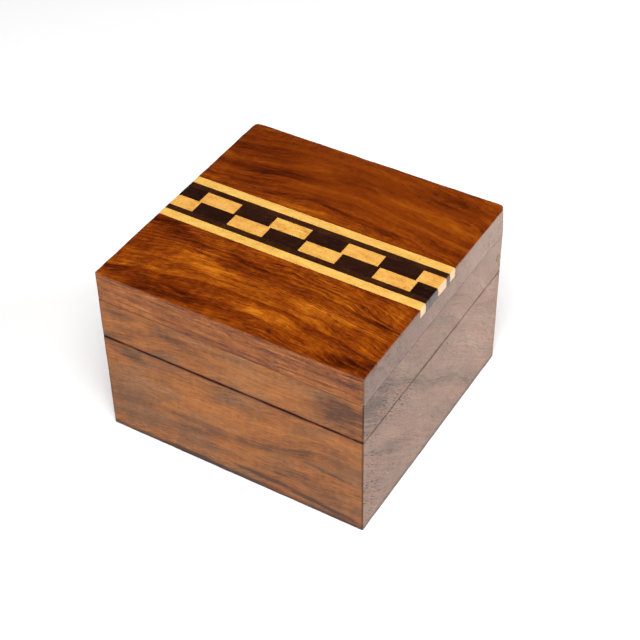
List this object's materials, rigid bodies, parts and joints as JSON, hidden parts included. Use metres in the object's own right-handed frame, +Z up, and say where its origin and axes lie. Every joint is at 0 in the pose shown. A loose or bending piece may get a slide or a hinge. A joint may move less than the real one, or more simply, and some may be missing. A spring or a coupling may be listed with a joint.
{
  "type": "inlaid wooden box",
  "caption": "Small near-square keepsake box with a pin-hinged lid and a chequered inlay band of light and dark wood across its top.",
  "frame": {"origin": "centre of the underside of the closed box", "axes": "+Z up, front wall facing -Y, +X to the right seen from the front, inlay band along X"},
  "size_m": [0.0802, 0.078, 0.055],
  "materials": {
    "lid_board_wood": "oiled and polished orange-brown hardwood, grain along X",
    "wall_wood": "satin brown hardwood, grain level along each wall",
    "pale_inlay": "polished yellow lemon wood",
    "dark_inlay": "polished near-black wood",
    "brass": "dull, hammered end"
  },
  "bodies": {
    "base": {"base_front_wall": "wall_wood", "base_back_wall": "wall_wood", "base_left_wall": "wall_wood", "base_right_wall": "wall_wood", "bottom_board": "wall_wood", "pivot_pin_left": "brass", "pivot_pin_right": "brass"},
    "lid": {"lid_top_board": "lid_board_wood", "lid_front_wall": "wall_wood", "lid_left_wall": "wall_wood", "lid_right_wall": "wall_wood", "lid_back_corner_left": "wall_wood", "lid_back_corner_right": "wall_wood", "inlay_pale_string_back": "pale_inlay", "inlay_dark_string_back": "dark_inlay", "inlay_dark_string_front": "dark_inlay", "inlay_pale_string_front": "pale_inlay", "inlay_block_back_1": "dark_inlay", "inlay_block_back_2": "pale_inlay", "inlay_block_back_3": "dark_inlay", "inlay_block_back_4": "pale_inlay", "inlay_block_back_5": "dark_inlay", "inlay_block_back_6": "pale_inlay", "inlay_block_back_7": "dark_inlay", "inlay_block_back_8": "pale_inlay", "inlay_block_front_1": "pale_inlay", "inlay_block_front_2": "dark_inlay", "inlay_block_front_3": "pale_inlay", "inlay_block_front_4": "dark_inlay", "inlay_block_front_5": "pale_inlay", "inlay_block_front_6": "dark_inlay", "inlay_block_front_7": "pale_inlay", "inlay_block_front_8": "dark_inlay"}
  },
  "joints": [
    {"name": "lid_pivot", "type": "hinge", "parent": "base", "child": "lid", "pos_m": [0, 0.036, 0.039], "axis": [-1, 0, 0], "range_deg": [0, 125]}
  ]
}
